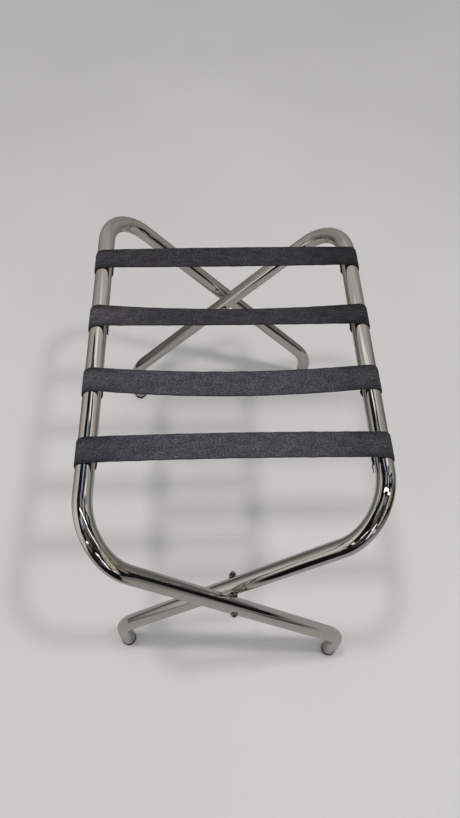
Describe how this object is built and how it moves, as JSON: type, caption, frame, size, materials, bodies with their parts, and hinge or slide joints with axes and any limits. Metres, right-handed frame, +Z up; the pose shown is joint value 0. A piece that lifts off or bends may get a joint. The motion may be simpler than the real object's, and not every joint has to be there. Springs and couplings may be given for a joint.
{
  "type": "hotel luggage bench",
  "caption": "Folding luggage bench: two crossed, bent tube frames on bolted pivots, joined over the rails by webbing straps.",
  "frame": {"origin": "on the floor, at the middle of the bench's footprint", "axes": "+Z up, +X to the right, -Y towards the front; the rails run along Y"},
  "size_m": [0.4076, 0.6314, 0.5356],
  "materials": {
    "chrome_tube": "polished chrome plate on bent steel tube",
    "chrome_fastener": "polished chrome plate",
    "steel_washer": "bright zinc",
    "steel_screw": "zinc-plated steel",
    "foot_plastic": "moulded, slightly scuffed",
    "webbing": "woven charcoal webbing"
  },
  "bodies": {
    "outer_frame": {"outer_frame_tube": "chrome_tube", "front_pivot_bolt": "chrome_fastener", "front_cap_nut": "chrome_fastener", "front_saddle_washer": "steel_washer", "front_nut_washer": "steel_washer", "front_pivot_spacer": "steel_washer", "outer_front_glide": "foot_plastic", "rear_pivot_bolt": "chrome_fastener", "rear_cap_nut": "chrome_fastener", "rear_saddle_washer": "steel_washer", "rear_nut_washer": "steel_washer", "rear_pivot_spacer": "steel_washer", "outer_rear_glide": "foot_plastic", "strap_rear": "webbing", "strap_mid_rear": "webbing", "strap_mid_front": "webbing", "strap_front": "webbing", "outer_rail_screws": "steel_screw"},
    "inner_frame": {"inner_frame_tube": "chrome_tube", "inner_front_glide": "foot_plastic", "inner_rear_glide": "foot_plastic", "inner_rail_screws": "steel_screw"}
  },
  "joints": [
    {"name": "fold", "type": "hinge", "parent": "outer_frame", "child": "inner_frame", "pos_m": [0, 0, 0.3062], "axis": [0, -1, 0], "range_deg": [0, 75], "deforming": ["strap_rear", "strap_mid_rear", "strap_mid_front", "strap_front"]}
  ]
}
